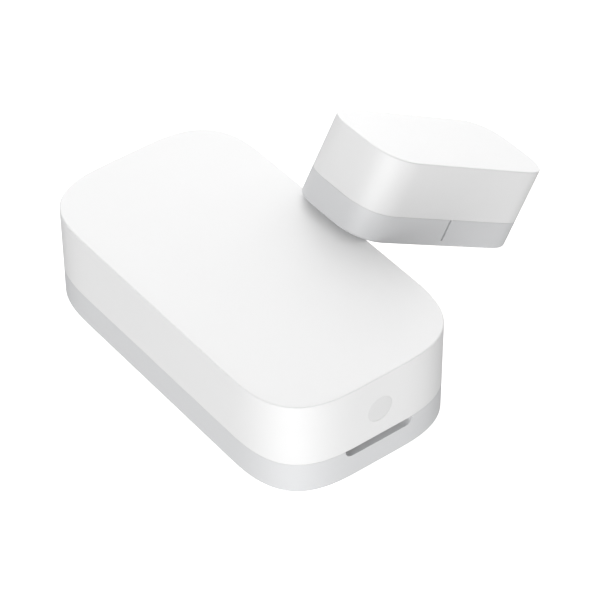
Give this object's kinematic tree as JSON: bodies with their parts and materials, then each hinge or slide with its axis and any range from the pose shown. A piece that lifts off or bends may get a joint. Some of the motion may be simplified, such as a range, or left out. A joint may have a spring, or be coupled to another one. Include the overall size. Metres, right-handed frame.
{
  "type": "door contact sensor",
  "caption": "Door contact sensor: squared-oval white and grey case with a button and prying slot at one end, and a smaller magnet unit leaning on its long edge.",
  "frame": {"origin": "centre of the sensor unit's mounting face, on the outside of its release liner", "axes": "+Z from the mounting face to the sensor unit's top, +Y along its length with the button and the prying slot at the -Y end, +X towards the magnet unit"},
  "size_m": [0.0458, 0.041, 0.0198],
  "materials": {
    "white_plastic": "fine matt moulded",
    "grey_plastic": "fine matt moulded",
    "button_plastic": "satin, slightly milky",
    "black_plastic": "matt moulded",
    "dark_rubber": "matt",
    "board": "solder mask over laminate",
    "chip_black": "moulded epoxy",
    "tin_plate": "bright tin",
    "spring_steel": "satin",
    "nickel": "bright nickel plate",
    "gold_pads": "gold flash",
    "copper_track": "bare copper",
    "tan_ceramic": "matt fired",
    "dark_ceramic": "matt fired",
    "cell_pellet": "pressed powder",
    "yellow_epoxy": "moulded epoxy",
    "led_lens": "milky lens",
    "clear_glass": "polished tube",
    "foam_pad": "closed-cell foam",
    "liner_paper": "coated release paper"
  },
  "bodies": {
    "housing": {"sensor_shell": "white_plastic", "switch_body": "black_plastic", "switch_leaf": "spring_steel", "switch_cover": "spring_steel", "switch_terminals": "tin_plate", "circuit_board": "board", "radio_chip": "chip_black", "radio_chip_leads": "tin_plate", "crystal_base": "dark_ceramic", "crystal_lid": "nickel", "capacitor_bodies": "tan_ceramic", "capacitor_ends": "tin_plate", "resistor_bodies": "chip_black", "resistor_ends": "tin_plate", "bulk_capacitor": "yellow_epoxy", "test_pads": "gold_pads", "antenna_trace": "copper_track", "status_led": "led_lens", "reed_glass": "clear_glass", "reed_fixed_lead": "nickel", "reed_outer_lead": "nickel", "battery_holder": "black_plastic", "positive_contact": "spring_steel", "negative_contact": "spring_steel"},
    "back_cover": {"sensor_base": "grey_plastic", "sensor_pad": "foam_pad", "sensor_liner": "liner_paper"},
    "coin_cell": {"battery_can": "nickel", "battery_gasket": "dark_rubber", "battery_core": "cell_pellet", "battery_cap": "nickel"},
    "button": {"function_button": "button_plastic"},
    "stem": {"switch_stem": "black_plastic"},
    "tongue": {"reed_tongue": "nickel"},
    "magnet_unit": {"magnet_shell": "white_plastic", "magnet_base": "grey_plastic", "bar_magnet": "nickel", "magnet_pad": "foam_pad", "magnet_liner": "liner_paper"}
  },
  "joints": [
    {"name": "cover_pull", "type": "slide", "parent": "housing", "child": "back_cover", "axis": [0, 0, -1], "range_m": [0, 0.016]},
    {"name": "cell_drop", "type": "slide", "parent": "housing", "child": "coin_cell", "axis": [0, 0, -1], "range_m": [0, 0.008]},
    {"name": "button_press", "type": "slide", "parent": "housing", "child": "button", "axis": [0, 1, 0], "range_m": [0, 0.00025], "stiffness_N_per_m": 2000, "springref_m": -0.00005},
    {"name": "stem_press", "type": "slide", "parent": "housing", "child": "stem", "axis": [0, 1, 0], "range_m": [0, 0.00025], "deforming": ["switch_leaf"]},
    {"name": "magnet_lift", "type": "slide", "parent": "housing", "child": "magnet_unit", "axis": [0.5, 0, 0.866], "range_m": [0, 0.014]},
    {"name": "tongue_flex", "type": "hinge", "parent": "housing", "child": "tongue", "pos_m": [0.00708, 0.0037, 0.0079], "axis": [0, 0, 1], "range_deg": [0, 0.8]}
  ],
  "couplings": [
    {"joint": "cell_drop", "follows": "cover_pull", "ratio": 0.5},
    {"joint": "stem_press", "follows": "button_press", "ratio": 1},
    {"joint": "tongue_flex", "follows": "magnet_lift", "rad_per_m": 0.997}
  ]
}
